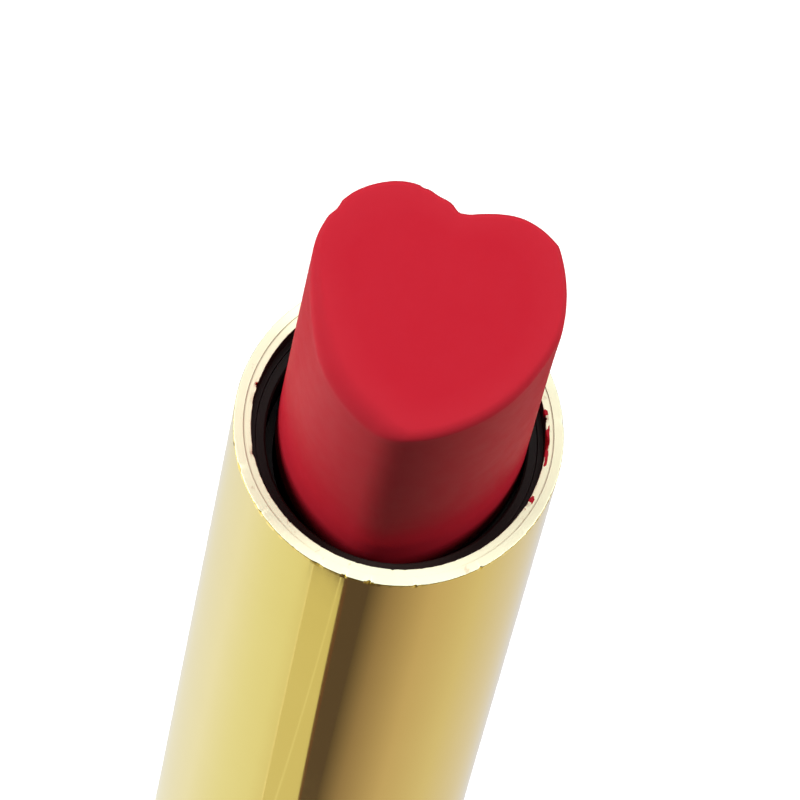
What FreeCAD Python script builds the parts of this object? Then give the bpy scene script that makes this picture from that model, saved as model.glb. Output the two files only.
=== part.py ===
"""Twist-up lipstick case with a heart-section lipstick, shown with the lipstick raised.

A base and a slotted guide tube are one assembly. A gold sleeve with a spiral sleeve inside it
turns round the guide tube. Two lugs on the lipstick's cup reach through the guide tube's slots
into the spiral grooves, so turning the sleeve raises and lowers the cup.

Millimetres, +Z up along the case's axis. The origin is the centre of the circle on which the
base stands. The lugs lie along X, and the tip of the heart points to -Y.
"""

import FreeCAD, Part
import Sketcher
import math
import os
import re

SIZES = {
    # heights above the foot
    "foot_recess": 0.8,
    "base_top": 10.6,
    "collar_top": 15.5,
    "rim_height": 91.0,
    # base
    "base_radius": 9.8,
    "base_wall": 0.5,
    "base_chamfer": 0.4,
    "foot_ring_width": 0.9,
    "disc_thickness": 0.55,
    "weight_height": 3.5,
    "weight_gap": 0.15,
    "weight_hole_radius": 2.0,
    "insert_floor": 1.0,
    "insert_gap": 0.05,
    "insert_hole_radius": 4.0,
    "insert_channel_width": 1.4,
    "insert_channel_depth": 0.25,
    "insert_channel_count": 12,
    "socket_wall": 0.65,
    "socket_height": 2.4,
    "collar_bore_radius": 8.62,
    "collar_skirt_wall": 0.27,
    "collar_skirt_height": 2.8,
    "collar_step_height": 0.9,
    "collar_neck_wall": 0.3,
    # guide tube
    "guide_radius": 7.08,
    "guide_bore_radius": 6.58,
    "guide_top": 89.6,
    "snap_height": 0.8,
    "snap_depth": 0.2,
    "snap_gap": 0.05,
    "slot_width": 2.2,
    "slot_margin": 0.3,
    "flange_radius": 7.55,
    "flange_height": 0.4,
    "brake_seat": 8.7,
    "brake_section_radius": 0.37,
    "brake_ring_radius": 7.46,
    "brake_gap": 0.05,
    # rim ring
    "rim_ring_bottom": 88.0,
    "rim_ring_radius": 7.8,
    "rim_bore_radius": 7.39,
    "rim_ring_step": 89.7,
    "rim_ring_drop": 0.05,
    "rim_round": 0.1,
    "press_gap": 0.02,
    # gold sleeve and spiral sleeve
    "sleeve_radius": 8.3,
    "sleeve_bore_radius": 7.9,
    "sleeve_bottom": 8.4,
    "sleeve_neck_relief": 0.2,
    "sleeve_neck_top": 15.6,
    "spiral_bore_radius": 7.13,
    "spiral_bottom": 50.0,
    "spiral_top": 87.9,
    "groove_floor_radius": 7.6,
    "groove_height": 2.35,
    "groove_overcut": 0.3,
    "groove_lead": 16.0,
    "groove_start": 54.0,
    # cup
    "cup_radius": 6.5,
    "cup_bore_radius": 6.05,
    "cup_bottom": 77.0,
    "cup_height": 10.0,
    "cup_floor": 0.8,
    "rib_depth": 0.25,
    "rib_width": 0.6,
    "rib_height": 8.0,
    "rib_count": 6,
    "lug_radius": 0.9,
    "lug_reach": 7.5,
    "lug_rise": 1.6,
    "travel_down": 24.0,
    "travel_up": 2.0,
    # lipstick
    "lipstick_foot_radius": 5.78,
    "lipstick_heart_start": 87.25,
    "lobe_radius": 3.82,
    "lobe_offset": 2.5,
    "lobe_forward": 0.86,
    "flank_radius": 7.85,
    "tip_radius": 3.15,
    "notch_radius": 0.5,
    "heart_shift": 0.12,
    "tip_offset": 3.25,
    "face_height": 18.25,
    "face_slope": 0.4,
    "face_round": 0.3,
}

FULL_TURN = 360
SMALLEST_CUT = 0.5
# Sketcher's own names for a sketch's origin and axes
ORIGIN_GEOMETRY = -1
HORIZONTAL_AXIS = -1
VERTICAL_AXIS = -2

document = FreeCAD.newDocument("LipstickCase")
sheet = document.addObject("Spreadsheet::Sheet", "Sizes")


def fill_sheet():
    """One row per driving dimension: its name, and its value under that alias."""
    for row, (alias, value) in enumerate(SIZES.items(), start=1):
        sheet.set(f"A{row}", alias)
        sheet.set(f"B{row}", str(value))
        sheet.setAlias(f"B{row}", alias)
    document.recompute()


def formula(text):
    """Turns 'rim_height - 2' into an expression that reads the sheet."""
    return re.sub(r"[a-z][a-z_]*", lambda word: "Sizes." + word.group(), text)


def value(text):
    """The number that a formula gives now."""
    return float(sheet.evalExpression(formula(text)))


def new_body(label):
    body = document.addObject("PartDesign::Body", label)
    body.Label = label
    return body


def new_sketch(body, role, name):
    """An empty sketch on one of the body's own origin planes."""
    sketch = body.newObject("Sketcher::SketchObject", name)
    plane = next(f for f in body.Origin.OriginFeatures if f.Role == role)
    sketch.AttachmentSupport = [(plane, "")]
    sketch.MapMode = "FlatFace"
    return sketch


def bind(sketch, kind, references, text):
    """Adds a dimension to a sketch and binds it to a formula."""
    index = sketch.addConstraint(Sketcher.Constraint(kind, *references, value(text)))
    sketch.setExpression(f"Constraints[{index}]", formula(text))


def place_point(sketch, geometry, end, across, up):
    """Holds a sketch point at two formulas, measured from the sketch's origin."""
    for kind, text, axis in (("DistanceX", across, VERTICAL_AXIS), ("DistanceY", up, HORIZONTAL_AXIS)):
        if text == "0":
            sketch.addConstraint(Sketcher.Constraint("PointOnObject", geometry, end, axis))
        else:
            bind(sketch, kind, (ORIGIN_GEOMETRY, 1, geometry, end), text)


def polygon(sketch, corners):
    """A closed outline of straight lines through corners given as pairs of formulas."""
    points = [FreeCAD.Vector(value(across), value(up), 0) for across, up in corners]
    first = sketch.GeometryCount
    for start, end in zip(points, points[1:] + points[:1]):
        sketch.addGeometry(Part.LineSegment(start, end))
    for index in range(len(points)):
        following = (index + 1) % len(points)
        joined = Sketcher.Constraint("Coincident", first + index, 2, first + following, 1)
        sketch.addConstraint(joined)
    for index, (across, up) in enumerate(corners):
        place_point(sketch, first + index, 1, across, up)


def rectangle(sketch, left, right, bottom, top):
    polygon(sketch, [(left, bottom), (right, bottom), (right, top), (left, top)])


def circle(sketch, across, up, radius):
    index = sketch.addGeometry(
        Part.Circle(FreeCAD.Vector(value(across), value(up), 0), FreeCAD.Vector(0, 0, 1), value(radius))
    )
    place_point(sketch, index, 3, across, up)
    bind(sketch, "Radius", (index,), radius)


def turned(label, corners):
    """A body turned about Z from a half section given as (radius, height) formulas."""
    body = new_body(label)
    sketch = new_sketch(body, "XZ_Plane", f"{label}_section")
    polygon(sketch, corners)
    feature = body.newObject("PartDesign::Revolution", f"{label}_turned")
    feature.Profile = sketch
    feature.ReferenceAxis = (sketch, ["V_Axis"])
    feature.Angle = FULL_TURN
    document.recompute()
    return body


def pad(body, sketch, length, midplane=False):
    feature = body.newObject("PartDesign::Pad", f"{sketch.Name}_pad")
    feature.Profile = sketch
    feature.Midplane = midplane
    feature.setExpression("Length", formula(length))
    document.recompute()
    return feature


def cut(body, feature, name):
    """Recomputes after a cutting feature, and stops if it has removed nothing."""
    before = feature.BaseFeature.Shape.Volume
    document.recompute()
    if before - feature.Shape.Volume < SMALLEST_CUT:
        raise SystemExit(f"{name} cuts nothing from {body.Label}")


def pocket(body, sketch, length, midplane=False, upward=False):
    feature = body.newObject("PartDesign::Pocket", f"{sketch.Name}_pocket")
    feature.Profile = sketch
    feature.Midplane = midplane
    feature.Reversed = upward
    feature.setExpression("Length", formula(length))
    cut(body, feature, sketch.Name)
    return feature


def repeat_round_axis(body, feature, count):
    """Repeats a feature in even steps round the body's Z axis."""
    pattern = body.newObject("PartDesign::PolarPattern", f"{feature.Name}_round")
    pattern.Originals = [feature]
    axis = next(f for f in body.Origin.OriginFeatures if f.Role == "Z_Axis")
    pattern.Axis = (axis, [""])
    pattern.Angle = FULL_TURN
    pattern.setExpression("Occurrences", formula(count))
    body.Tip = pattern
    document.recompute()
    return pattern


def make_base_shell():
    """The drawn gold cup that the hand holds, with a recess under its floor."""
    turned("base_shell", [
        ("0", "foot_recess"),
        ("base_radius - foot_ring_width", "foot_recess"),
        ("base_radius - foot_ring_width", "0"),
        ("base_radius - base_chamfer", "0"),
        ("base_radius", "base_chamfer"),
        ("base_radius", "base_top"),
        ("base_radius - base_wall", "base_top"),
        ("base_radius - base_wall", "foot_recess + base_wall"),
        ("0", "foot_recess + base_wall"),
    ])


def make_bottom_disc():
    """The plain disc glued into the recess under the base."""
    edge = "base_radius - foot_ring_width - weight_gap"
    turned("bottom_disc", [
        ("0", "foot_recess - disc_thickness"),
        (edge, "foot_recess - disc_thickness"),
        (edge, "foot_recess"),
        ("0", "foot_recess"),
    ])


def make_base_weight():
    """The steel slug that gives the base its heft."""
    edge = "base_radius - base_wall - weight_gap"
    floor = "foot_recess + base_wall"
    top = "foot_recess + base_wall + weight_height"
    turned("base_weight", [
        ("weight_hole_radius", floor),
        (f"{edge} - base_chamfer", floor),
        (edge, f"{floor} + base_chamfer"),
        (edge, f"{top} - base_chamfer"),
        (f"{edge} - base_chamfer", top),
        ("weight_hole_radius", top),
    ])


INSERT_BOTTOM = "foot_recess + base_wall + weight_height"
INSERT_FLOOR_TOP = INSERT_BOTTOM + " + insert_floor"
INSERT_RADIUS = "base_radius - base_wall - insert_gap"
SNAP_RADIUS = "guide_radius + snap_depth"


def make_base_insert():
    """The plastic core of the base: a socket grips the guide tube's foot, and ribs grip the shell."""
    socket_bore = "guide_radius + press_gap"
    socket_outside = "guide_radius + socket_wall"
    snap_bore = f"{SNAP_RADIUS} + snap_gap"
    skirt_clear = "collar_bore_radius + collar_neck_wall"
    body = turned("base_insert", [
        ("insert_hole_radius", INSERT_BOTTOM),
        (INSERT_RADIUS, INSERT_BOTTOM),
        (INSERT_RADIUS, "base_top - collar_skirt_height - snap_gap"),
        (skirt_clear, "base_top - collar_skirt_height - snap_gap"),
        (skirt_clear, "base_top - snap_gap"),
        ("collar_bore_radius", "base_top - snap_gap"),
        ("collar_bore_radius", INSERT_FLOOR_TOP),
        (socket_outside, INSERT_FLOOR_TOP),
        (socket_outside, f"{INSERT_FLOOR_TOP} + socket_height"),
        (socket_bore, f"{INSERT_FLOOR_TOP} + socket_height"),
        (socket_bore, f"{INSERT_FLOOR_TOP} + 2 * snap_height + snap_gap"),
        (snap_bore, f"{INSERT_FLOOR_TOP} + 2 * snap_height + snap_gap"),
        (snap_bore, f"{INSERT_FLOOR_TOP} + snap_height - snap_gap"),
        (socket_bore, f"{INSERT_FLOOR_TOP} + snap_height - snap_gap"),
        (socket_bore, INSERT_FLOOR_TOP),
        ("insert_hole_radius", INSERT_FLOOR_TOP),
    ])
    sketch = new_sketch(body, "XY_Plane", "insert_channel")
    rectangle(
        sketch,
        f"{INSERT_RADIUS} - insert_channel_depth",
        "base_radius",
        "-insert_channel_width / 2",
        "insert_channel_width / 2",
    )
    channel = pocket(body, sketch, "base_top", upward=True)
    repeat_round_axis(body, channel, "insert_channel_count")


def make_collar_ring():
    """The gold ring that closes the base round the turning sleeve, and stops the cap."""
    skirt_outside = "base_radius - base_wall - press_gap"
    skirt_inside = f"{skirt_outside} - collar_skirt_wall"
    neck_outside = "collar_bore_radius + collar_neck_wall"
    step = "base_top + collar_step_height"
    turned("collar_ring", [
        ("collar_bore_radius", "base_top"),
        (skirt_inside, "base_top"),
        (skirt_inside, "base_top - collar_skirt_height"),
        (skirt_outside, "base_top - collar_skirt_height"),
        (skirt_outside, "base_top"),
        ("base_radius", "base_top"),
        ("base_radius", f"{step} - base_chamfer / 2"),
        ("base_radius - base_chamfer / 2", step),
        (neck_outside, step),
        (neck_outside, "collar_top - rim_round"),
        (f"{neck_outside} - rim_round", "collar_top"),
        ("collar_bore_radius", "collar_top"),
    ])


def make_guide_tube():
    """The fixed inner tube: its two straight slots keep the cup from turning with the sleeve."""
    seat_top = "brake_seat + 2 * brake_section_radius + 2 * brake_gap + flange_height"
    body = turned("guide_tube", [
        ("guide_bore_radius", INSERT_FLOOR_TOP),
        ("guide_radius", INSERT_FLOOR_TOP),
        ("guide_radius", f"{INSERT_FLOOR_TOP} + snap_height"),
        (SNAP_RADIUS, f"{INSERT_FLOOR_TOP} + snap_height"),
        (SNAP_RADIUS, f"{INSERT_FLOOR_TOP} + 1.5 * snap_height"),
        ("guide_radius", f"{INSERT_FLOOR_TOP} + 2 * snap_height"),
        ("guide_radius", "brake_seat - flange_height"),
        ("flange_radius", "brake_seat - flange_height"),
        ("flange_radius", "brake_seat"),
        ("guide_radius", "brake_seat"),
        ("guide_radius", f"{seat_top} - flange_height"),
        ("flange_radius", f"{seat_top} - flange_height"),
        ("flange_radius", seat_top),
        ("guide_radius", seat_top),
        ("guide_radius", "guide_top"),
        ("guide_bore_radius + rim_round", "guide_top"),
        ("guide_bore_radius", "guide_top - rim_round"),
    ])
    sketch = new_sketch(body, "YZ_Plane", "lug_slot")
    lug = "cup_bottom + lug_rise"
    rectangle(
        sketch,
        "-slot_width / 2",
        "slot_width / 2",
        f"{lug} - travel_down - lug_radius - slot_margin",
        f"{lug} + travel_up + lug_radius + slot_margin",
    )
    through_both_walls = "4 * guide_radius"
    pocket(body, sketch, through_both_walls, midplane=True)


def make_brake_ring():
    """The silicone ring that makes the sleeve turn stiffly, so that the lipstick stays where it is."""
    ring = document.addObject("Part::Torus", "brake_ring")
    ring.Label = "brake_ring"
    ring.setExpression("Radius1", formula("brake_ring_radius"))
    ring.setExpression("Radius2", formula("brake_section_radius"))
    ring.setExpression("Placement.Base.z", formula("brake_seat + brake_section_radius + brake_gap"))
    document.recompute()


def make_rim_ring():
    """The thin gold ring pressed over the guide tube's top, which holds the sleeves down."""
    top = "rim_height - rim_ring_drop"
    turned("rim_ring", [
        ("guide_radius + press_gap", "rim_ring_bottom"),
        ("rim_ring_radius", "rim_ring_bottom"),
        ("rim_ring_radius", f"{top} - rim_round"),
        ("rim_ring_radius - rim_round", top),
        ("rim_bore_radius + rim_round", top),
        ("rim_bore_radius", f"{top} - rim_round"),
        ("rim_bore_radius", "rim_ring_step"),
        ("guide_radius + press_gap", "rim_ring_step"),
    ])


def make_outer_sleeve():
    """The long gold sleeve that the fingers turn. Its foot runs inside the base."""
    foot_radius = "sleeve_radius - sleeve_neck_relief"
    turned("outer_sleeve", [
        ("sleeve_bore_radius", "sleeve_bottom"),
        (foot_radius, "sleeve_bottom"),
        (foot_radius, "sleeve_neck_top"),
        ("sleeve_radius", "sleeve_neck_top + sleeve_neck_relief"),
        ("sleeve_radius", "rim_height - rim_round"),
        ("sleeve_radius - rim_round", "rim_height"),
        ("sleeve_bore_radius", "rim_height"),
    ])


def make_spiral_sleeve():
    """The plastic sleeve pressed into the gold one, with two spiral grooves that carry the lugs."""
    outside = "sleeve_bore_radius - press_gap"
    body = turned("spiral_sleeve", [
        ("spiral_bore_radius", "spiral_bottom"),
        (outside, "spiral_bottom"),
        (outside, "spiral_top"),
        ("spiral_bore_radius", "spiral_top"),
    ])
    sketch = new_sketch(body, "XZ_Plane", "groove_section")
    rectangle(
        sketch,
        "spiral_bore_radius - groove_overcut",
        "groove_floor_radius",
        "groove_start - groove_height / 2",
        "groove_start + groove_height / 2",
    )
    groove = body.newObject("PartDesign::SubtractiveHelix", "spiral_groove")
    groove.Profile = sketch
    groove.ReferenceAxis = (sketch, ["V_Axis"])
    groove.Mode = "pitch-height-angle"
    groove.setExpression("Pitch", formula("groove_lead"))
    groove.setExpression("Height", formula("spiral_top - groove_start + groove_height"))
    groove.LeftHanded = False
    groove.Reversed = False
    cut(body, groove, "spiral groove")
    repeat_round_axis(body, groove, "2")
    # The groove starts on +X, and has to pass over the lugs where they stand at rest.
    lead_angle = f"-(cup_bottom + lug_rise - groove_start) / groove_lead * {FULL_TURN}"
    body.setExpression("Placement.Rotation.Angle", formula(lead_angle))


def make_bullet_cup():
    """The cup that holds the lipstick, with grip ribs inside and a lug on each side."""
    body = turned("bullet_cup", [
        ("0", "cup_bottom"),
        ("cup_radius", "cup_bottom"),
        ("cup_radius", "cup_bottom + cup_height"),
        ("0", "cup_bottom + cup_height"),
    ])
    lugs = new_sketch(body, "YZ_Plane", "cup_lug")
    circle(lugs, "0", "cup_bottom + lug_rise", "lug_radius")
    pad(body, lugs, "2 * lug_reach", midplane=True)
    bore = new_sketch(body, "XY_Plane", "cup_bore")
    bore.setExpression("AttachmentOffset.Base.z", formula("cup_bottom + cup_floor"))
    circle(bore, "0", "0", "cup_bore_radius")
    pocket(body, bore, "cup_height", upward=True)
    rib = new_sketch(body, "XY_Plane", "cup_rib")
    rib.setExpression("AttachmentOffset.Base.z", formula("cup_bottom + cup_floor"))
    rib_inside = "cup_bore_radius - rib_depth"
    rectangle(rib, rib_inside, "cup_bore_radius + rib_depth", "-rib_width / 2", "rib_width / 2")
    grip = pad(body, rib, "rib_height")
    repeat_round_axis(body, grip, "rib_count")


def common_tangent_circle(lobe, tip):
    """Centre of the flank arc that both the lobe and the tip touch from inside."""
    flank = value("flank_radius")
    from_lobe = flank - value("lobe_radius")
    from_tip = flank - value("tip_radius")
    between = tip - lobe
    along = (from_lobe**2 - from_tip**2 + between.Length**2) / (2 * between.Length)
    aside = math.sqrt(from_lobe**2 - along**2)
    direction = between.normalize()
    normal = FreeCAD.Vector(direction.y, -direction.x, 0)
    return lobe + direction * along + normal * aside


def across_heart(point):
    """The same point on the heart's other half."""
    return FreeCAD.Vector(-point.x, point.y, point.z)


def heart_edges():
    """The heart's outline as arcs: the rounded notch, two lobes, two flanks and the tip."""
    lobe_radius = value("lobe_radius")
    tip_radius = value("tip_radius")
    flank_radius = value("flank_radius")
    notch_radius = value("notch_radius")
    lobe = FreeCAD.Vector(value("lobe_offset"), value("lobe_forward"), 0)
    tip = FreeCAD.Vector(0, -value("tip_offset"), 0)
    notch = FreeCAD.Vector(0, lobe.y + math.sqrt((lobe_radius + notch_radius) ** 2 - lobe.x**2), 0)
    flank = common_tangent_circle(lobe, tip)
    from_notch = notch + (lobe - notch).normalize() * notch_radius
    to_flank = flank + (lobe - flank).normalize() * flank_radius
    to_tip = flank + (tip - flank).normalize() * flank_radius
    lobe_middle = lobe + ((from_notch + to_flank) * 0.5 - lobe).normalize() * lobe_radius
    flank_middle = flank + ((to_flank + to_tip) * 0.5 - flank).normalize() * flank_radius
    right = [Part.Arc(from_notch, lobe_middle, to_flank), Part.Arc(to_flank, flank_middle, to_tip)]
    half = [arc.toShape() for arc in right]
    mirrored = [edge.mirror(FreeCAD.Vector(0, 0, 0), FreeCAD.Vector(1, 0, 0)) for edge in half]
    notch_bottom = notch - FreeCAD.Vector(0, notch_radius, 0)
    tip_bottom = tip - FreeCAD.Vector(0, tip_radius, 0)
    middle = [
        Part.Arc(from_notch, notch_bottom, across_heart(from_notch)).toShape(),
        Part.Arc(to_tip, tip_bottom, across_heart(to_tip)).toShape(),
    ]
    return half + mirrored + middle


def make_lipstick_bullet():
    """The lipstick: a heart-section bar with a slanted face, on a round foot that fills the cup."""
    outline = Part.Wire(Part.__sortEdges__(heart_edges()))
    start = value("lipstick_heart_start")
    face_centre = value("rim_height + face_height")
    slope = value("face_slope")
    reach = value("sleeve_radius")
    outline.translate(FreeCAD.Vector(value("heart_shift"), 0, start))
    bar = Part.Face(outline).extrude(FreeCAD.Vector(0, 0, face_centre + reach - start))
    above_face = Part.makePolygon([
        FreeCAD.Vector(-reach, -reach, face_centre - slope * reach),
        FreeCAD.Vector(-reach, reach, face_centre + slope * reach),
        FreeCAD.Vector(-reach, reach, face_centre + 2 * reach),
        FreeCAD.Vector(-reach, -reach, face_centre + 2 * reach),
        FreeCAD.Vector(-reach, -reach, face_centre - slope * reach),
    ])
    bar = bar.cut(Part.Face(above_face).extrude(FreeCAD.Vector(2 * reach, 0, 0)))
    face = max(bar.Faces, key=lambda each: each.CenterOfMass.z)
    bar = bar.makeFillet(value("face_round"), face.Edges)
    foot_bottom = value("cup_bottom + cup_floor")
    foot = Part.makeCylinder(
        value("lipstick_foot_radius"), start - foot_bottom, FreeCAD.Vector(0, 0, foot_bottom)
    )
    bullet = document.addObject("Part::Feature", "lipstick_bullet")
    bullet.Label = "lipstick_bullet"
    bullet.Shape = bar.fuse(foot).removeSplitter().Solids[0]
    bullet.Placement = FreeCAD.Placement()


def subparts():
    """Every object that stands for one physical piece."""
    kinds = ("PartDesign::Body", "Part::Torus", "Part::Feature")
    return [each for each in document.Objects if each.TypeId in kinds]


def check_model():
    failed = [each.Name for each in document.Objects if {"Invalid", "Error"} & set(each.State)]
    if failed:
        raise SystemExit(f"failed objects: {failed}")
    for piece in subparts():
        if piece.Shape.isNull() or not piece.Shape.isValid() or len(piece.Shape.Solids) != 1:
            raise SystemExit(f"{piece.Label} is not one valid solid")


def write_steps():
    os.makedirs("parts", exist_ok=True)
    for piece in subparts():
        piece.Shape.exportStep(f"parts/{piece.Label}.step")
        box = piece.Shape.BoundBox
        print(f"{piece.Label}: {box.XLength:.2f} x {box.YLength:.2f} x {box.ZLength:.2f} mm,",
              f"z {box.ZMin:.2f} to {box.ZMax:.2f}, {piece.Shape.Volume:.0f} mm3")


fill_sheet()
make_base_shell()
make_bottom_disc()
make_base_weight()
make_base_insert()
make_collar_ring()
make_guide_tube()
make_brake_ring()
make_rim_ring()
make_outer_sleeve()
make_spiral_sleeve()
make_bullet_cup()
make_lipstick_bullet()
document.recompute()
check_model()
write_steps()
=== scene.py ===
"""Looks of the twist-up lipstick case: detailed meshes, procedural materials, studio and camera."""
import math

import bmesh
import bpy
from mathutils import Matrix, Vector, noise


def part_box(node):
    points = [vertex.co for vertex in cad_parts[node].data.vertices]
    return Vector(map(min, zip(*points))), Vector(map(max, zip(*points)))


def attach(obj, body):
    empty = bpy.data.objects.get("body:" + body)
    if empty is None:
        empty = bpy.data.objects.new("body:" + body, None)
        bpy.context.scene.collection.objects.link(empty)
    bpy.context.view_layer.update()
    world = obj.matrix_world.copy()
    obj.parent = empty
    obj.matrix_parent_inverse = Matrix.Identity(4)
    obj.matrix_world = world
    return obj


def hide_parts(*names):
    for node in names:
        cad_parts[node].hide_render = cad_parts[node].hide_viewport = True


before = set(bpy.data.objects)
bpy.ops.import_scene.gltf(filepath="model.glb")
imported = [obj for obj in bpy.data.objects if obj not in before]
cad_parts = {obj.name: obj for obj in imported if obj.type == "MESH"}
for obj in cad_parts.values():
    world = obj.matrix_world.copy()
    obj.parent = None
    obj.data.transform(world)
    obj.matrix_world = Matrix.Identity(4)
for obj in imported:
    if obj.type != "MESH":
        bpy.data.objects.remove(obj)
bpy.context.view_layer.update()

MM = 0.001

# Sizes read from the frame
RIM_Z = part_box("outer_sleeve")[1].z
SLEEVE_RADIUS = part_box("outer_sleeve")[1].x
SLEEVE_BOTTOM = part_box("outer_sleeve")[0].z
RING_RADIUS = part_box("rim_ring")[1].x
RING_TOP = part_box("rim_ring")[1].z
RING_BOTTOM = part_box("rim_ring")[0].z
BASE_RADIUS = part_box("base_shell")[1].x
BASE_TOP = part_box("base_shell")[1].z
COLLAR_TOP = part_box("collar_ring")[1].z
GUIDE_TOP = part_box("guide_tube")[1].z
CUP_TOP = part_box("bullet_cup")[1].z
BULLET_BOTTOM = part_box("lipstick_bullet")[0].z

# Other sizes of the case
SLEEVE_BORE = 7.9 * MM
RING_WALL = 0.41 * MM
RING_INSIDE = RING_RADIUS - RING_WALL
RING_SEAT_RADIUS = 7.10 * MM
BASE_WALL = 0.5 * MM
FOOT_RING_WIDTH = 0.9 * MM
RECESS_DEPTH = 0.8 * MM
AXIS_HOLE = 0.3 * MM  # left at the axis by the lathe, and covered by the bottom disc
LEDGE_HEIGHT = 0.9 * MM
COLLAR_NECK_RADIUS = 8.92 * MM
COLLAR_BORE = 8.62 * MM
COLLAR_SKIRT_GAP = 0.52 * MM
COLLAR_SKIRT_WALL = 0.27 * MM
COLLAR_SKIRT_DEPTH = 2.8 * MM
SEAM = 0.04 * MM


# ---------------------------------------------------------------- mesh helpers

def add_object(name, mesh):
    piece = bpy.data.objects.new(name, mesh)
    bpy.context.scene.collection.objects.link(piece)
    return piece


def mesh_from(name, points, faces, smooth=True):
    mesh = bpy.data.meshes.new(name)
    mesh.from_pydata(points, [], faces)
    mesh.update()
    builder = bmesh.new()
    builder.from_mesh(mesh)
    bmesh.ops.recalc_face_normals(builder, faces=builder.faces)
    builder.to_mesh(mesh)
    builder.free()
    if smooth:
        mesh.shade_smooth()
    return mesh


def rounded(corners, steps=5):
    """A closed outline of (radius, height) from corners given as (radius, height, rounding).
    A point just outside each rounding keeps the flats flat under smooth shading."""
    outline = []
    count = len(corners)
    for index, (across, up, rounding) in enumerate(corners):
        here = Vector((across, up))
        before = Vector(corners[index - 1][:2]) - here
        after = Vector(corners[(index + 1) % count][:2]) - here
        cutoff = min(rounding, before.length * 0.4, after.length * 0.4)
        start = here + before.normalized() * cutoff
        end = here + after.normalized() * cutoff
        outline.append(start + before.normalized() * cutoff * 0.2)
        for step in range(steps + 1):
            t = step / steps
            outline.append((1 - t) ** 2 * start + 2 * t * (1 - t) * here + t**2 * end)
        outline.append(end + after.normalized() * cutoff * 0.2)
    return outline


def lathe(name, outline, segments, shape=None):
    """Turns a closed outline about Z. shape(point, angle) may move each point a little."""
    points = []
    for index in range(segments):
        angle = 2 * math.pi * index / segments
        for radius, height in outline:
            point = Vector((radius * math.cos(angle), radius * math.sin(angle), height))
            points.append(shape(point, angle) if shape else point)
    width = len(outline)
    faces = []
    for index in range(segments):
        here = index * width
        there = (index + 1) % segments * width
        for step in range(width):
            following = (step + 1) % width
            faces.append((here + step, there + step, there + following, here + following))
    return mesh_from(name, points, faces)


# ---------------------------------------------------------------- camera

CAMERA_AZIMUTH = 2.5
CAMERA_ELEVATION = 68.8
CAMERA_ROLL = 13.7
CAMERA_DISTANCE = 0.4995
CAMERA_LENS = 450.0
RIM_ASIDE = -0.06 * MM
RIM_BELOW_AXIS = 1.48 * MM


def make_camera():
    """A long lens that looks steeply down on the rim, rolled so that the case leans to the right."""
    azimuth = math.radians(CAMERA_AZIMUTH)
    elevation = math.radians(CAMERA_ELEVATION)
    roll = math.radians(CAMERA_ROLL)
    back = Vector((
        math.sin(azimuth) * math.cos(elevation),
        -math.cos(azimuth) * math.cos(elevation),
        math.sin(elevation),
    ))
    level = Vector((math.cos(azimuth), math.sin(azimuth), 0.0))
    above = back.cross(level)
    across = math.cos(roll) * level + math.sin(roll) * above
    upward = -math.sin(roll) * level + math.cos(roll) * above
    rim_centre = Vector((0, 0, RIM_Z))
    place = rim_centre - RIM_ASIDE * across + RIM_BELOW_AXIS * upward + CAMERA_DISTANCE * back
    data = bpy.data.cameras.new("camera")
    data.lens = CAMERA_LENS
    data.sensor_width = 36.0
    data.clip_start = 0.01
    data.clip_end = 20.0
    camera = bpy.data.objects.new("camera", data)
    bpy.context.scene.collection.objects.link(camera)
    turn = Matrix((across, upward, back)).transposed().to_4x4()
    camera.matrix_world = Matrix.Translation(place) @ turn
    bpy.context.scene.camera = camera


# ---------------------------------------------------------------- node helpers

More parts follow.
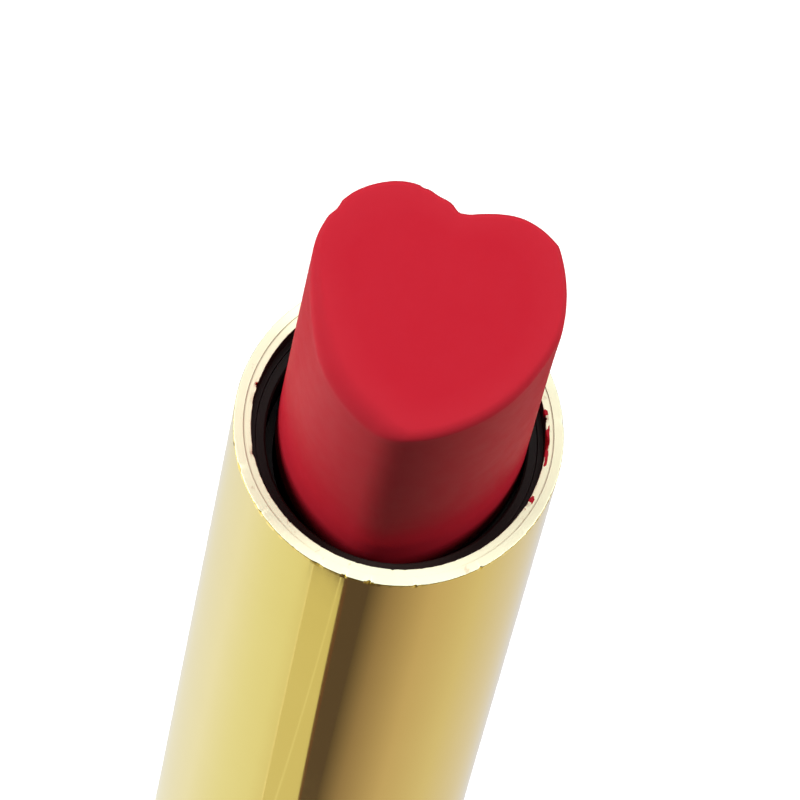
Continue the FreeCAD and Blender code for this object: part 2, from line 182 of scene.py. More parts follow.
class Shader:
    """A material with a Principled shader and short calls for the nodes that feed it."""

    def __init__(self, name):
        self.material = bpy.data.materials.new(name)
        self.material.use_nodes = True
        self.tree = self.material.node_tree
        self.principled = self.tree.nodes["Principled BSDF"]
        self.place = self.node("ShaderNodeTexCoord").outputs["Object"]

    def node(self, kind, **settings):
        made = self.tree.nodes.new(kind)
        for key, setting in settings.items():
            setattr(made, key, setting)
        return made

    def link(self, source, target):
        self.tree.links.new(source, target)

    def set(self, **values):
        for key, setting in values.items():
            self.principled.inputs[key.replace("_", " ")].default_value = setting

    def feed(self, socket, source):
        self.link(source, self.principled.inputs[socket])

    def put(self, node, socket, given):
        """Links a socket to an output, or sets its value."""
        if hasattr(given, "is_output"):
            self.link(given, node.inputs[socket])
        else:
            node.inputs[socket].default_value = given

    def noise(self, scale, detail=3.0, roughness=0.5, stretch=(1, 1, 1), distortion=0.0):
        mapping = self.node("ShaderNodeMapping")
        mapping.inputs["Scale"].default_value = stretch
        self.link(self.place, mapping.inputs["Vector"])
        texture = self.node("ShaderNodeTexNoise")
        self.link(mapping.outputs["Vector"], texture.inputs["Vector"])
        texture.inputs["Scale"].default_value = scale
        texture.inputs["Detail"].default_value = detail
        texture.inputs["Roughness"].default_value = roughness
        texture.inputs["Distortion"].default_value = distortion
        return texture.outputs["Fac"]

    def ramp(self, source, *stops):
        """stops: (position, grey or colour)."""
        made = self.node("ShaderNodeValToRGB")
        self.link(source, made.inputs["Fac"])
        elements = made.color_ramp.elements
        while len(elements) < len(stops):
            elements.new(0.5)
        for element, (position, colour) in zip(elements, stops):
            element.position = position
            shade = colour if isinstance(colour, tuple) else (colour,) * 3
            element.color = (*shade, 1.0)
        return made.outputs["Color"]

    def scaled(self, source, low, high):
        made = self.node("ShaderNodeMapRange")
        self.link(source, made.inputs["Value"])
        made.inputs["To Min"].default_value = low
        made.inputs["To Max"].default_value = high
        return made.outputs["Result"]

    def math(self, operation, first, second=0.0):
        made = self.node("ShaderNodeMath", operation=operation)
        self.put(made, 0, first)
        self.put(made, 1, second)
        return made.outputs[0]

    def mix(self, factor, first, second):
        made = self.node("ShaderNodeMix", data_type="RGBA")
        self.put(made, "Factor", factor)
        for socket, given in ((6, first), (7, second)):
            if hasattr(given, "is_output"):
                self.link(given, made.inputs[socket])
            else:
                made.inputs[socket].default_value = (*given, 1.0)
        return made.outputs[2]

    def bump(self, height, distance, strength=1.0):
        made = self.node("ShaderNodeBump")
        made.inputs["Distance"].default_value = distance
        made.inputs["Strength"].default_value = strength
        self.link(height, made.inputs["Height"])
        self.feed("Normal", made.outputs["Normal"])

    def attribute(self, name):
        return self.node("ShaderNodeAttribute", attribute_name=name).outputs["Fac"]


# ---------------------------------------------------------------- materials

GOLD = (0.73, 0.545, 0.11)
GOLD_PALE = (0.77, 0.585, 0.15)
WAX_RED = (0.375, 0.0115, 0.0225)
WAX_ROSE = (0.40, 0.019, 0.031)


def gold_mirror(name, dull=0.07):
    """Bright gold lacquer over metal, with faint drawing lines, hand haze and a slight change of tone."""
    s = Shader(name)
    tone = s.noise(90, 4, 0.6)
    s.feed("Base Color", s.mix(tone, GOLD, GOLD_PALE))
    haze = s.noise(260, 5, 0.65, distortion=0.6)
    s.feed("Roughness", s.scaled(haze, dull * 0.6, dull * 1.8))
    s.set(Metallic=1.0)
    lines = s.noise(160, 1, 0.4, stretch=(1, 1, 0.05))
    s.bump(lines, 0.001 * MM, 0.15)
    return s.material


def rim_edge(name):
    """The pale, satin lacquer on the rim's cut edge, with worn tan specks and lines. Its paleness is
    partly a painted highlight that stands in for the bright light the polished rim catches from above.
    """
    s = Shader(name)
    specks = s.noise(1500, 3, 0.6)
    worn = s.ramp(specks, (0.66, 0.0), (0.74, 1.0))
    tan = s.mix(s.scaled(s.noise(300), 0.2, 0.8), (0.85, 0.87, 0.60), (0.87, 0.89, 0.66))
    s.feed("Base Color", s.mix(s.math("MULTIPLY", worn, 0.35), tan, (0.45, 0.22, 0.08)))
    s.feed("Roughness", s.scaled(specks, 0.42, 0.6))
    s.set(Metallic=0.25)
    return s.material


def black_plastic(name):
    """Satin black moulding with fine flow marks."""
    s = Shader(name)
    marks = s.noise(400, 3, 0.5, stretch=(1, 1, 0.3))
    s.feed("Base Color", s.ramp(marks, (0.3, (0.018, 0.012, 0.011)), (0.8, (0.030, 0.020, 0.018))))
    s.feed("Roughness", s.scaled(marks, 0.26, 0.38))
    s.set(Specular_IOR_Level=0.10)
    s.bump(marks, 0.01 * MM, 0.3)
    return s.material


def lipstick_wax(name):
    """Satin red wax: slightly translucent, rosier along its edges, with pores and a soft bloom."""
    s = Shader(name)
    cloud = s.noise(210, 4, 0.6)
    edge = s.attribute("edge")
    rosy = s.math("ADD", s.scaled(cloud, -0.25, 0.45), s.math("MULTIPLY", edge, 0.8))
    s.feed("Base Color", s.mix(rosy, WAX_RED, WAX_ROSE))
    s.feed("Roughness", s.scaled(s.noise(900, 3), 0.36, 0.50))
    s.set(Specular_IOR_Level=0.016)
    s.set(Subsurface_Weight=0.12, Subsurface_Scale=0.4 * MM, Subsurface_Radius=(1.0, 0.25, 0.15))
    pores = s.noise(2600, 4, 0.7)
    s.bump(pores, 0.006 * MM, 0.6)
    return s.material


def natural_plastic(name, colour):
    """Unpainted moulding in a pale natural colour."""
    s = Shader(name)
    grain = s.noise(500, 3)
    darker = tuple(0.85 * channel for channel in colour)
    s.feed("Base Color", s.mix(grain, darker, colour))
    s.feed("Roughness", s.scaled(grain, 0.38, 0.55))
    s.bump(grain, 0.01 * MM, 0.4)
    return s.material


def silicone(name):
    """Milky silicone with a dusty bloom."""
    s = Shader(name)
    bloom = s.noise(1500, 4)
    s.feed("Base Color", s.mix(bloom, (0.55, 0.54, 0.50), (0.68, 0.67, 0.63)))
    s.feed("Roughness", s.scaled(bloom, 0.45, 0.62))
    return s.material


def plated_steel(name):
    """Zinc-plated steel with fine turning marks."""
    s = Shader(name)
    turned = s.noise(1400, 3, 0.6, stretch=(0.2, 0.2, 6))
    s.feed("Base Color", s.mix(turned, (0.42, 0.43, 0.44), (0.58, 0.59, 0.60)))
    s.feed("Roughness", s.scaled(turned, 0.22, 0.42))
    s.set(Metallic=1.0)
    return s.material


# ---------------------------------------------------------------- pieces

def replace_node(piece, node, body, slot, *materials):
    for material in materials:
        piece.data.materials.append(material)
    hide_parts(node)
    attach(piece, body)


def paint_node(node, material):
    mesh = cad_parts[node].data
    mesh.materials.clear()
    mesh.materials.append(material)


def give_top_faces(mesh, above, slot):
    """Faces that look up at the top of the rim take another material: the pale lacquer, whose paleness
    partly paints the rim's highlight.
    """
    for face in mesh.polygons:
        if face.center.z > above and face.normal.z > 0.75:
            face.material_index = slot


def make_outer_sleeve(material, edge):
    """The gold sleeve. A low lip inside its top closes the running gap round the rim ring."""
    lip = RING_RADIUS + 0.005 * MM
    lip_bottom = RIM_Z - 0.8 * MM
    foot = SLEEVE_RADIUS - 0.2 * MM
    neck = COLLAR_TOP + 0.1 * MM
    corners = [
        (SLEEVE_BORE, SLEEVE_BOTTOM, 0.05 * MM),
        (foot, SLEEVE_BOTTOM, 0.1 * MM),
        (foot, neck, 0.1 * MM),
        (SLEEVE_RADIUS, neck + 0.2 * MM, 0.1 * MM),
        (SLEEVE_RADIUS, RIM_Z - 1.2 * MM, 0.1 * MM),
        (SLEEVE_RADIUS, RIM_Z - 0.35 * MM, 0.05 * MM),
        (SLEEVE_RADIUS, RIM_Z, 0.07 * MM),
        (lip, RIM_Z, 0.006 * MM),
        (lip, lip_bottom, 0.02 * MM),
        (SLEEVE_BORE, lip_bottom - 0.1 * MM, 0.02 * MM),
    ]
    mesh = lathe("gold_sleeve", rounded(corners), 900, nicked_rim)
    piece = add_object("gold_sleeve", mesh)
    replace_node(piece, "outer_sleeve", "sleeve", "gold_sleeve", material, edge)
    give_top_faces(mesh, RIM_Z - 0.3 * MM, 1)


def paint_rim_ring(mesh):
    """Black bore and step, pale top that partly paints the rim's highlight, and lipstick where it has
    rubbed off.
    """
    for face in mesh.polygons:
        centre = face.center
        outward = Vector((centre.x, centre.y, 0)).normalized()
        if face.normal.dot(outward) < -0.6 or centre.z < GUIDE_TOP + 0.2 * MM:
            face.material_index = 1
    give_top_faces(mesh, RIM_Z - 0.3 * MM, 2)
    for face in mesh.polygons:
        if face.center.z > RING_TOP - 0.3 * MM and is_smeared(face.center):
            face.material_index = 3


def make_rim_ring(gold, black, edge, wax):
    """The inner ring of the rim. Extra points on its flat top give the smears their outlines."""
    step = GUIDE_TOP + 0.1 * MM
    corners = [
        (RING_SEAT_RADIUS, RING_BOTTOM, 0.05 * MM),
        (RING_RADIUS, RING_BOTTOM, 0.05 * MM),
        (RING_RADIUS, RING_TOP, 0.006 * MM),
        (RING_INSIDE + 0.27 * MM, RING_TOP, 0.01 * MM),
        (RING_INSIDE + 0.19 * MM, RING_TOP, 0.01 * MM),
        (RING_INSIDE + 0.12 * MM, RING_TOP, 0.01 * MM),
        (RING_INSIDE, RING_TOP, 0.05 * MM),
        (RING_INSIDE, RING_TOP - 0.35 * MM, 0.05 * MM),
        (RING_INSIDE, step, 0.02 * MM),
        (RING_SEAT_RADIUS, step, 0.02 * MM),
    ]
    mesh = lathe("rim_trim_ring", rounded(corners), 900, nicked_rim)
    piece = add_object("rim_trim_ring", mesh)
    replace_node(piece, "rim_ring", "base", "gold_trim", gold, black, edge, wax)
    paint_rim_ring(mesh)


# Chips along the rim: (angle round the axis, half width in degrees, depth, at the outer edge or not)
RIM_CHIPS = [
    (178, 1.4, 0.16 * MM, False),
    (184, 3.0, 0.07 * MM, False),
    (206, 2.6, 0.09 * MM, False),
    (22, 2.2, 0.12 * MM, False),
    (12, 3.6, 0.16 * MM, False),
    (345, 1.2, 0.08 * MM, False),
    (238, 0.8, 0.05 * MM, False),
    (283, 0.8, 0.06 * MM, False),
    (211, 1.8, 0.08 * MM, True),
    (229, 0.9, 0.08 * MM, True),
    (256, 2.4, 0.07 * MM, True),
    (266, 1.0, 0.13 * MM, True),
    (275, 1.8, 0.14 * MM, True),
    (291, 0.7, 0.10 * MM, True),
    (315, 0.8, 0.08 * MM, True),
    (20, 2.0, 0.06 * MM, True),
]
EDGE_WEAR = 0.03 * MM
CHIP_ACROSS = 0.2 * MM
CHIP_DOWN = 0.3 * MM
CHIP_SLUMP = 0.7


def degrees_between(first, second):
    return abs((first - second + 180) % 360 - 180)


def chip_depth(angle, at_outer_edge):
    """How far the rim's edge is worn back at an angle."""
    degrees = math.degrees(angle)
    place = Vector((math.cos(angle), math.sin(angle), 5.0 if at_outer_edge else 9.0))
    depth = max(0.0, noise.noise(place * 31)) * EDGE_WEAR
    for middle, half_width, deepest, outer in RIM_CHIPS:
        away = degrees_between(degrees, middle)
        if outer == at_outer_edge and away < half_width:
            ragged = 0.7 + 0.6 * noise.noise(place * 90)
            depth = max(depth, deepest * ragged * (1 - (away / half_width) ** 2))
    return depth


def nicked_rim(point, angle):
    """Wears the rim's outer and inner edges back by the chips."""
    radius = math.hypot(point.x, point.y)
    near_top = max(0.0, 1 - (RIM_Z - point.z) / CHIP_DOWN)
    if near_top == 0.0:
        return point
    from_outside = max(0.0, SLEEVE_RADIUS - radius)
    from_inside = max(0.0, radius - RING_INSIDE)
    outer = chip_depth(angle, True) * max(0.0, 1 - from_outside / CHIP_ACROSS) * near_top
    inner = chip_depth(angle, False) * max(0.0, 1 - from_inside / CHIP_ACROSS) * near_top
    scale = (radius - outer + inner) / radius
    return Vector((point.x * scale, point.y * scale, point.z - CHIP_SLUMP * (outer + inner)))


def is_smeared(centre):
    """Whether lipstick has rubbed off on this part of the rim ring's top."""
    angle = math.degrees(math.atan2(centre.y, centre.x))
    from_bore = math.hypot(centre.x, centre.y) - RING_INSIDE
    patch = noise.noise(Vector((angle * 0.35, from_bore * 4000, 2.0)))
    if 6 < angle < 17:
        return from_bore < (0.16 + 0.1 * patch) * MM
    if 17 <= angle < 27:
        return patch > 0.15 and from_bore < 0.2 * MM
    if -18 < angle <= 6:
        return patch > 0.28 and from_bore < 0.26 * MM
    return False


def make_base_shell(material):
    """The base cup, with a foot ring round the recess under it."""
    foot = BASE_RADIUS - FOOT_RING_WIDTH
    inside = BASE_RADIUS - BASE_WALL
    corners = [
        (foot, 0.0, 0.1 * MM),
        (BASE_RADIUS, 0.0, 0.5 * MM),
        (BASE_RADIUS, BASE_TOP, 0.05 * MM),
        (inside, BASE_TOP, 0.05 * MM),
        (inside, RECESS_DEPTH + BASE_WALL, 0.3 * MM),
        (AXIS_HOLE, RECESS_DEPTH + BASE_WALL, 0.05 * MM),
        (AXIS_HOLE, RECESS_DEPTH, 0.05 * MM),
        (foot, RECESS_DEPTH, 0.2 * MM),
    ]
    mesh = lathe("gold_base_cup", rounded(corners), 256)
    replace_node(add_object("gold_base_cup", mesh), "base_shell", "base", "gold_base", material)


def make_collar(material):
    """The collar: a skirt inside the base cup, a ledge that covers the cup's edge, and a neck."""
    skirt = BASE_RADIUS - COLLAR_SKIRT_GAP
    skirt_inside = skirt - COLLAR_SKIRT_WALL
    skirt_bottom = BASE_TOP - COLLAR_SKIRT_DEPTH
    ledge = BASE_TOP + LEDGE_HEIGHT
    seam = BASE_TOP + SEAM
    corners = [
        (COLLAR_BORE, BASE_TOP, 0.02 * MM),
        (skirt_inside, BASE_TOP, 0.02 * MM),
        (skirt_inside, skirt_bottom, 0.05 * MM),
        (skirt, skirt_bottom, 0.05 * MM),
        (skirt, seam, 0.02 * MM),
        (BASE_RADIUS, seam, 0.06 * MM),
        (BASE_RADIUS, ledge, 0.22 * MM),
        (COLLAR_NECK_RADIUS, ledge, 0.08 * MM),
        (COLLAR_NECK_RADIUS, COLLAR_TOP, 0.1 * MM),
        (COLLAR_BORE, COLLAR_TOP, 0.06 * MM),
    ]
    mesh = lathe("collar_trim", rounded(corners), 256)
    replace_node(add_object("collar_trim", mesh), "collar_ring", "base", "gold_trim", material)


# The lipstick's heart section, as arcs, and its slanted face
LOBE_RADIUS = 3.815 * MM
HEART_SHIFT = 0.12 * MM
LOBE_OFFSET = 2.5 * MM
LOBE_FORWARD = 0.86 * MM
FLANK_RADIUS = 7.845 * MM
TIP_RADIUS = 3.145 * MM
TIP_OFFSET = 3.25 * MM
NOTCH_RADIUS = 0.25 * MM
FACE_CENTRE = RIM_Z + 18.12 * MM
FACE_SLOPE = 0.4
FACE_MIDDLE = Vector((0.0, -0.4 * MM))
FACE_DOME = 0.12 * MM
HEART_START = CUP_TOP + 0.25 * MM
FOOT_RADIUS = 5.78 * MM
FOOT_ROUNDING = 0.3 * MM
WAX_WEAR = 0.002 * MM
WALL_STEPS = 40
BEND_STEPS = 10
FACE_STEPS = 16


def arc(centre, radius, start, end, count):
    """Points round a circle from one angle to another, without the last."""
    angles = [start + (end - start) * step / count for step in range(count)]
    return [centre + radius * Vector((math.cos(a), math.sin(a))) for a in angles]


def heading(vector):
    """The angle of a flat vector from +X."""
    return math.atan2(vector.y, vector.x)


def heart_half():
    """The right half of the heart from the notch to the tip."""
    lobe = Vector((LOBE_OFFSET, LOBE_FORWARD))
    tip = Vector((0, -TIP_OFFSET))
    notch = Vector((0, lobe.y + math.sqrt((LOBE_RADIUS + NOTCH_RADIUS) ** 2 - lobe.x**2)))
    from_lobe = FLANK_RADIUS - LOBE_RADIUS
    from_tip = FLANK_RADIUS - TIP_RADIUS
    between = tip - lobe
    along = (from_lobe**2 - from_tip**2 + between.length_squared) / (2 * between.length)
    aside = math.sqrt(from_lobe**2 - along**2)
    forward = between.normalized()
    flank = lobe + forward * along + Vector((forward.y, -forward.x)) * aside
    to_lobe = heading(lobe - notch)
    flank_start = heading(lobe - flank)
    flank_end = heading(tip - flank)
    tip_front = tip - Vector((0, TIP_RADIUS))
    points = arc(notch, NOTCH_RADIUS, -math.pi / 2, to_lobe, 6)
    points += arc(lobe, LOBE_RADIUS, to_lobe + math.pi, flank_start, 96)
    points += arc(flank, FLANK_RADIUS, flank_start, flank_end, 40)
    points += arc(tip, TIP_RADIUS, flank_end, -math.pi / 2, 10)
    return points + [tip_front]


# Where the wax has sagged or worn: (angle round the heart, half width in degrees, outward shift)
HEART_SWELLS = [
    (-25, 45, 0.12 * MM),
    (22, 50, 0.24 * MM),
    (32, 9, 0.05 * MM),
    (68, 16, -0.06 * MM),
    (93, 14, 0.30 * MM),
    (113, 3, -0.05 * MM),
    (112, 42, 0.24 * MM),
    (148, 18, 0.08 * MM),
    (156, 5, -0.10 * MM),
    (198, 34, -0.18 * MM),
]
SWELL_CENTRE = Vector((0, 0.3 * MM))
WAX_REACH = 6.56 * MM  # from the case's axis, just inside the guide tube's bore


def swollen(p):
    """The same point of the heart's outline after the swells and dents, kept inside the guide tube."""
    radial = p - SWELL_CENTRE
    degrees = math.degrees(heading(radial))
    outward = 0.0
    for middle, half_width, amount in HEART_SWELLS:
        away = degrees_between(degrees, middle)
        if away < half_width:
            outward += amount * math.cos(math.pi / 2 * away / half_width) ** 2
    shift = Vector((HEART_SHIFT, 0))
    from_axis = p + radial.normalized() * outward + shift
    if from_axis.length > WAX_REACH:
        from_axis = from_axis.normalized() * WAX_REACH
    return from_axis - shift


def heart_outline():
    """The plain heart, before it is shifted to its place."""
    right = heart_half()
    left = [Vector((-p.x, p.y)) for p in reversed(right[1:-1])]
    return right + left


def inward_normals(outline):
    """At each point of the outline, the flat direction that points into the heart."""
    count = len(outline)
    normals = []
    for index in range(count):
        tangent = outline[(index + 1) % count] - outline[index - 1]
        normals.append(Vector((tangent.y, -tangent.x)).normalized() * -1)
    centre = sum(outline, Vector((0, 0))) / count
    if (centre - outline[0]).dot(normals[0]) < 0:
        normals = [-n for n in normals]
    return normals


def face_height(p):
    """The height of the slanted face's plane over a flat point."""
    return FACE_CENTRE + FACE_SLOPE * p.y


def edge_radius(p):
    """Crisp round the lobes and on the right of the tip, worn soft on the left of it."""
    front = min(1.0, max(0.0, (1.5 * MM - p.y) / (5 * MM)))
    left = min(1.0, max(0.0, (0.8 * MM - p.x) / (2 * MM)))
    return (0.32 + 0.18 * front + 0.55 * front * left) * MM


def wall_rings(plain, outline):
    """The side wall. It is a plain heart above the cup and takes on the swells towards the face."""
    rings = []
    for step in range(WALL_STEPS):
        t = step / WALL_STEPS
        ring = []
        for p, q in zip(plain, outline):
            top = face_height(q) - edge_radius(q)
            side = p.lerp(q, t * t)
            ring.append(Vector((side.x, side.y, HEART_START + (top - HEART_START) * t)))
        rings.append((ring, 0.0))
    return rings


def bend_rings(outline):
    """The rounded edge between the wall and the face."""
    normals = inward_normals(outline)
    rings = []
    for step in range(BEND_STEPS + 1):
        angle = math.pi / 2 * step / BEND_STEPS
        ring = []
        for p, n in zip(outline, normals):
            radius = edge_radius(p)
            q = p + n * radius * (1 - math.cos(angle))
            ring.append(Vector((q.x, q.y, face_height(q) - radius * (1 - math.sin(angle)))))
        rings.append((ring, 1.0 - 0.4 * step / BEND_STEPS))
    return rings


def face_rings(rim):
    """The slightly domed face, inside the ring where the rounded edge ends."""
    rings = []
    for step in range(1, FACE_STEPS):
        t = step / FACE_STEPS
        dome = FACE_DOME * (1 - (1 - t) ** 2)
        ring = []
        for p in rim:
            q = Vector((p.x, p.y)) * (1 - t) + FACE_MIDDLE * t
            ring.append(Vector((q.x, q.y, face_height(q) + dome)))
        rings.append((ring, 0.6 * max(0.0, 1 - 4 * t)))
    return rings


def foot_rings(outline):
    """The round foot that stands in the cup, from its top down."""
    sizes = [
        (FOOT_RADIUS, HEART_START),
        (FOOT_RADIUS, BULLET_BOTTOM + FOOT_ROUNDING),
        (FOOT_RADIUS - FOOT_ROUNDING, BULLET_BOTTOM),
    ]
    ways = [Vector((p.x, p.y)).normalized() for p in outline]
    return [[Vector((w.x * radius, w.y * radius, height)) for w in ways] for radius, height in sizes]


def band(lower, upper):
    """Faces between two rings of point numbers."""
    count = len(lower)
    faces = []
    for column in range(count):
        following = (column + 1) % count
        faces.append((lower[column], lower[following], upper[following], upper[column]))
    return faces


def settled(p):
    """Shifts a point of the heart to its place and makes the wax very slightly uneven."""
    wobble = noise.noise(p * 260) + 0.5 * noise.noise(p * 700)
    outward = Vector((p.x, p.y, 0)).normalized()
    above_cup = min(1.0, max(0.0, (p.z - CUP_TOP) / (4 * MM)))
    aside = HEART_SHIFT if p.z > HEART_START - 0.01 * MM else 0.0
    return p + Vector((aside, 0, 0)) - outward * WAX_WEAR * (2 + wobble) * above_cup


def bullet_mesh():
    """The lipstick's mesh. Its edge attribute is 1 at the rounded edge and 0 on the wall."""
    plain = heart_outline()
    outline = [swollen(p) for p in plain]
    rings = wall_rings(plain, outline) + bend_rings(outline)
    rings += face_rings(rings[-1][0])
    count = len(outline)
    points = [p for ring, _ in rings for p in ring]
    edges = [value for _, value in rings for _ in range(count)]
    rows = [list(range(row * count, (row + 1) * count)) for row in range(len(rings))]
    faces = []
    for lower, upper in zip(rows, rows[1:]):
        faces += band(lower, upper)
    middle = len(points)
    points.append(Vector((FACE_MIDDLE.x, FACE_MIDDLE.y, face_height(FACE_MIDDLE) + FACE_DOME)))
    edges.append(0.0)
    top = rows[-1]
    faces += [(top[column], top[(column + 1) % count], middle) for column in range(count)]
    above = rows[0]
    for ring in foot_rings(outline):
        below = list(range(len(points), len(points) + count))
        points += ring
        edges += [0.0] * count
        faces += band(below, above)
        above = below
    faces.append(tuple(above))
    mesh = mesh_from("lipstick_wax_heart", [settled(p) for p in points], faces)
    mesh.attributes.new("edge", "FLOAT", "POINT").data.foreach_set("value", edges)
    return mesh


def make_bullet(material):
    piece = add_object("lipstick_wax_heart", bullet_mesh())
    replace_node(piece, "lipstick_bullet", "carrier", "lipstick_wax", material)


# ---------------------------------------------------------------- studio

def glowing(name):
    """A material that only glows, and its emission node."""
    material = bpy.data.materials.new(name)
    material.use_nodes = True
    tree = material.node_tree
    tree.nodes.clear()
    light = tree.nodes.new("ShaderNodeEmission")
    output = tree.nodes.new("ShaderNodeOutputMaterial")
    tree.links.new(light.outputs[0], output.inputs["Surface"])
    return material, light


def make_floor():
    half = 4.0
    corners = [(-half, -half, 0), (half, -half, 0), (half, half, 0), (-half, half, 0)]
    mesh = mesh_from("floor", corners, [(0, 1, 2, 3)], smooth=False)
    floor = add_object("floor", mesh)
    s = Shader("floor_paper")
    grain = s.noise(40, 3)
    s.feed("Base Color", s.mix(grain, (0.91, 0.91, 0.91), (0.93, 0.93, 0.93)))
    s.set(Roughness=0.9, Specular_IOR_Level=0.0)
    mesh.materials.append(s.material)


def softbox(name, toward, size, radiance, distance=0.6):
    """An area light that shines at the rim from the direction toward."""
    data = bpy.data.lights.new(name, "AREA")
    data.shape = "RECTANGLE"
    data.size, data.size_y = size
    data.energy = radiance * math.pi * size[0] * size[1]
    light = bpy.data.objects.new(name, data)
    bpy.context.scene.collection.objects.link(light)
    way = Vector(toward).normalized()
    aim = Vector((0, 0, RIM_Z))
    light.location = aim + way * distance
    light.rotation_mode = "QUATERNION"
    light.rotation_quaternion = way.to_track_quat("Z", "Y")
    light.visible_camera = False


def direction(azimuth, elevation):
    """A direction seen from the case: azimuth 0 is behind it, 90 to its right, 180 towards the camera."""
    a, e = math.radians(azimuth), math.radians(elevation)
    return Vector((math.sin(a) * math.cos(e), math.cos(a) * math.cos(e), math.sin(e)))


def make_world(strength):
    world = bpy.data.worlds.new("studio")
    world.use_nodes = True
    background = world.node_tree.nodes["Background"]
    background.inputs["Color"].default_value = (1, 1, 1, 1)
    background.inputs["Strength"].default_value = strength
    bpy.context.scene.world = world


CARD_CENTRE = Vector((0, -SLEEVE_RADIUS / 2, 0))
CARD_HEIGHT = 0.2 * MM
OUTER_REACH = 1.5

# Glowing tones of the card near the case, a painted reflection in the sleeve by direction: bright on its
# left, a dark band in front, duller and warmer on its right
NEAR_PAINTED_REFLECTION_TONES = [
    (-180, (0.80, 0.80, 0.80)),
    (-150, (0.84, 0.83, 0.78)),
    (-130, (0.90, 0.90, 0.79)),
    (-95, (0.99, 1.03, 0.95)),
    (-65, (0.96, 1.01, 0.80)),
    (-43, (0.94, 0.98, 0.75)),
    (-25, (0.86, 0.84, 0.59)),
    (0, (0.125, 0.094, 0.088)),
    (9, (0.135, 0.104, 0.09)),
    (24, (0.375, 0.290, 0.225)),
    (54, (0.673, 0.560, 0.400)),
    (89, (0.79, 0.715, 0.46)),
    (124, (0.795, 0.74, 0.60)),
    (154, (0.76, 0.75, 0.77)),
    (180, (0.80, 0.80, 0.80)),
]
# Glowing tones of the card further out, a painted reflection that the sleeve shows when it is seen from
# the side
FAR_PAINTED_REFLECTION_TONES = [
    (-180, (0.78, 0.75, 0.68)),
    (-150, (0.95, 0.93, 0.84)),
    (-132, (0.16, 0.12, 0.09)),
    (-118, (0.13, 0.10, 0.08)),
    (-105, (1.30, 1.28, 1.15)),
    (-75, (1.50, 1.48, 1.32)),
    (-50, (1.05, 1.03, 0.86)),
    (-30, (0.80, 0.76, 0.58)),
    (-12, (0.13, 0.10, 0.09)),
    (12, (0.12, 0.09, 0.08)),
    (35, (0.50, 0.42, 0.32)),
    (70, (0.88, 0.82, 0.62)),
    (110, (0.95, 0.91, 0.76)),
    (132, (0.18, 0.14, 0.10)),
    (142, (0.15, 0.11, 0.08)),
    (160, (0.72, 0.68, 0.60)),
    (180, (0.78, 0.75, 0.68)),
]


def card_point(angle, reach, height=0.0):
    """A point of the floor cards: angle 0 is straight in front of the case, 90 to its right."""
    a = math.radians(angle)
    return CARD_CENTRE + Vector((reach * math.sin(a), -reach * math.cos(a), height))


def card_reach(angle):
    """How far out the sleeve's reflections reach on the floor."""
    return 38.5 * MM + 3.2 * MM * (1 - math.cos(math.radians(angle)))


def seen_by_reflections_only(card):
    card.visible_camera = False
    card.visible_diffuse = False
    card.visible_shadow = False
    card.visible_transmission = False


def make_card(name, corners, glow, height):
    """A flat glowing card on the floor that paints a reflection into the metal. corners are (reach,
    angle), and glow is the card's brightness.
    """
    points = [card_point(angle, reach, height) for reach, angle in corners]
    mesh = mesh_from(name, points, [tuple(range(len(points)))], smooth=False)
    card = add_object(name, mesh)
    material, light = glowing(name + "_paint")
    light.inputs["Color"].default_value = (*glow, 1.0)
    mesh.materials.append(material)
    seen_by_reflections_only(card)


def make_strip(name, near, far, glow, height):
    """A card between two lines. near and far are (reach, left angle, right angle)."""
    corners = [(near[0], near[1]), (near[0], near[2]), (far[0], far[2]), (far[0], far[1])]
    make_card(name, corners, glow, height)


def direction_share(tree):
    """The direction from the object's origin as a number from 0 to 1. Straight in front is 0.5."""
    place = tree.nodes.new("ShaderNodeTexCoord")
    parts = tree.nodes.new("ShaderNodeSeparateXYZ")
    tree.links.new(place.outputs["Object"], parts.inputs["Vector"])
    flip = tree.nodes.new("ShaderNodeMath")
    flip.operation = "MULTIPLY"
    flip.inputs[1].default_value = -1.0
    tree.links.new(parts.outputs["Y"], flip.inputs[0])
    turn = tree.nodes.new("ShaderNodeMath")
    turn.operation = "ARCTAN2"
    tree.links.new(parts.outputs["X"], turn.inputs[0])
    tree.links.new(flip.outputs[0], turn.inputs[1])
    share = tree.nodes.new("ShaderNodeMapRange")
    share.inputs["From Min"].default_value = -math.pi
    share.inputs["From Max"].default_value = math.pi
    tree.links.new(turn.outputs[0], share.inputs["Value"])
    return share.outputs["Result"]


def tone_paint(name, tones):
    """Glowing paint whose tone changes with the direction from the card's origin.
    tones: (angle, colour), with the angle as in card_point."""
    material, light = glowing(name)
    tree = material.node_tree
    ramp = tree.nodes.new("ShaderNodeValToRGB")
    tree.links.new(direction_share(tree), ramp.inputs["Fac"])
    elements = ramp.color_ramp.elements
    while len(elements) < len(tones):
        elements.new(0.5)
    for element, (angle, colour) in zip(elements, tones):
        element.position = (angle + 180) / 360
        element.color = (*colour, 1.0)
    tree.links.new(ramp.outputs["Color"], light.inputs["Color"])
    return material


def make_toned_ring(name, near, far, tones):
    """A flat glowing ring on the floor, seen only by reflections, that paints a reflection into the
    metal. near and far give its reach at an angle.
    """
    steps = 180
    points = []
    for index in range(steps):
        angle = 360 * index / steps
        points.append(card_point(angle, near(angle), CARD_HEIGHT) - CARD_CENTRE)
        points.append(card_point(angle, far(angle), CARD_HEIGHT) - CARD_CENTRE)
    faces = []
    for index in range(steps):
        here = 2 * index
        there = 2 * ((index + 1) % steps)
        faces.append((here, here + 1, there + 1, there))
    mesh = mesh_from(name, points, faces, smooth=False)
    mesh.materials.append(tone_paint(name + "_paint", tones))
    card = add_object(name, mesh)
    card.location = CARD_CENTRE
    seen_by_reflections_only(card)


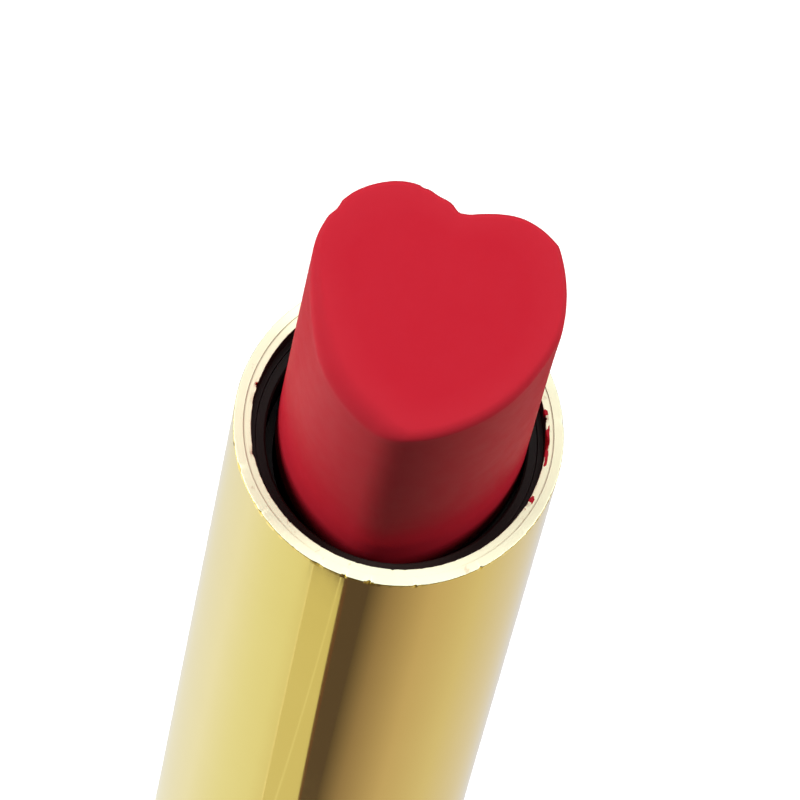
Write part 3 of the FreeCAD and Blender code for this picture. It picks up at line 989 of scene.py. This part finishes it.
FLAG_FIRST = -80.0
FLAG_LAST = 135.0
FLAG_FADE = 25.0
FLAG_STEPS = 66
FLAG_RINGS = [(0.0, 0.0), (6 * MM, 1.0), (0.3, 1.0), (1.2, 0.6)]  # (reach beyond the cards, cover)


def make_black_flag():
    """Black cloth on the floor in front and to the right of the case. It keeps the floor's bounce
    off the lipstick's front. Only bounced light sees it, and it thins out at its edges."""
    points = []
    covers = []
    for index in range(FLAG_STEPS + 1):
        angle = FLAG_FIRST + (FLAG_LAST - FLAG_FIRST) * index / FLAG_STEPS
        from_end = min(angle - FLAG_FIRST, FLAG_LAST - angle)
        for beyond, cover in FLAG_RINGS:
            points.append(card_point(angle, card_reach(angle) + beyond, CARD_HEIGHT / 2))
            covers.append(cover * min(1.0, from_end / FLAG_FADE))
    count = len(FLAG_RINGS)
    faces = []
    for index in range(FLAG_STEPS):
        for ring in range(count - 1):
            here = index * count + ring
            faces.append((here, here + 1, here + count + 1, here + count))
    mesh = mesh_from("black_flag", points, faces, smooth=False)
    mesh.attributes.new("cover", "FLOAT", "POINT").data.foreach_set("value", covers)
    flag = add_object("black_flag", mesh)
    s = Shader("black_cloth")
    weave = s.noise(300, 2)
    s.feed("Base Color", s.mix(weave, (0.010, 0.010, 0.010), (0.02, 0.02, 0.02)))
    s.set(Roughness=1.0, Specular_IOR_Level=0.0)
    s.feed("Alpha", s.attribute("cover"))
    mesh.materials.append(s.material)
    flag.visible_camera = False
    flag.visible_glossy = False
    flag.visible_shadow = False
    flag.visible_transmission = False


# Colours of glowing strips that paint a dark band and a pale band into the sleeve's reflection
PAINTED_REFLECTION_DARK = (0.121, 0.090, 0.086)
PAINTED_REFLECTION_PALE = (0.80, 0.78, 0.50)
NEAR = 5 * MM
HALFWAY = 22 * MM
FAR = 41 * MM


def make_painted_reflection_cards():
    """The glowing rings, and on them the dark strip and the thin lines: painted reflections that show in
    the sleeve.
    """
    make_toned_ring("near_painted_reflection", lambda angle: 1 * MM, card_reach, NEAR_PAINTED_REFLECTION_TONES)
    make_toned_ring("far_painted_reflection", card_reach, lambda angle: OUTER_REACH, FAR_PAINTED_REFLECTION_TONES)
    # Each strip glows and is seen only in reflections: a painted reflection of a pale band, a dark band
    # with a warm fringe and a dark end, a bright highlight line and thinner lines
    make_strip("pale_strip", (NEAR, -7.5, 9), (FAR, -33.4, 9), PAINTED_REFLECTION_PALE, 0.25 * MM)
    make_strip("dark_strip", (HALFWAY, -3.8, 9), (FAR, -10.3, 9), PAINTED_REFLECTION_DARK, 0.3 * MM)
    make_strip("warm_fringe", (HALFWAY, -3.8, -2), (FAR, -10.3, -7), (0.16, 0.085, 0.07), 0.32 * MM)
    end = [(37.0, 9), (37.0, -9), (37.1, -14), (37.4, -18), (37.8, -25), (38.3, -36), (41, -36), (41, 9)]
    make_card("dark_end", [(reach * MM, angle) for reach, angle in end], PAINTED_REFLECTION_DARK, 0.35 * MM)
    make_strip("bright_line", (NEAR, -9.5, -7.5), (FAR, -33.8, -33.3), (1.2, 1.2, 0.95), 0.4 * MM)
    make_strip("thin_line", (NEAR, -7.5, -6.0), (FAR, -33.3, -33.0), (0.6, 0.52, 0.25), 0.4 * MM)
    make_strip("soft_line", (18 * MM, -28, -26.5), (FAR, -11.2, -10.5), (0.92, 0.92, 0.64), 0.45 * MM)


# ---------------------------------------------------------------- build

make_camera()
make_world(0.12)
make_floor()
make_painted_reflection_cards()
make_black_flag()
softbox("key", direction(0, 68), (0.5, 0.5), 1.6)
softbox("left", direction(-104, 35), (0.35, 0.35), 13.0)
softbox("right", direction(80, 38), (0.2, 0.3), 20.0)

GOLD_SLEEVE = gold_mirror("gold_sleeve_lacquer", 0.05)
GOLD_TRIM = gold_mirror("gold_trim_polish", 0.09)
GOLD_BASE = gold_mirror("gold_base_lacquer", 0.06)
BLACK = black_plastic("black_moulding")
WAX = lipstick_wax("lipstick_wax_red")
# Pale lacquer for the rim's top; its paleness is partly a painted highlight from the lights above
RIM_LACQUER_AND_HIGHLIGHT = rim_edge("rim_lacquer_and_highlight")
make_outer_sleeve(GOLD_SLEEVE, RIM_LACQUER_AND_HIGHLIGHT)
make_rim_ring(GOLD_TRIM, BLACK, RIM_LACQUER_AND_HIGHLIGHT, WAX)
make_base_shell(GOLD_BASE)
make_collar(GOLD_TRIM)
make_bullet(WAX)
paint_node("guide_tube", BLACK)
paint_node("bullet_cup", BLACK)
paint_node("spiral_sleeve", natural_plastic("spiral_moulding", (0.72, 0.72, 0.68)))
paint_node("base_insert", natural_plastic("insert_moulding", (0.78, 0.77, 0.72)))
paint_node("bottom_disc", gold_mirror("disc_satin", 0.25))
paint_node("base_weight", plated_steel("weight_plating"))
paint_node("brake_ring", silicone("brake_silicone"))

bpy.context.scene.view_settings.view_transform = "Standard"
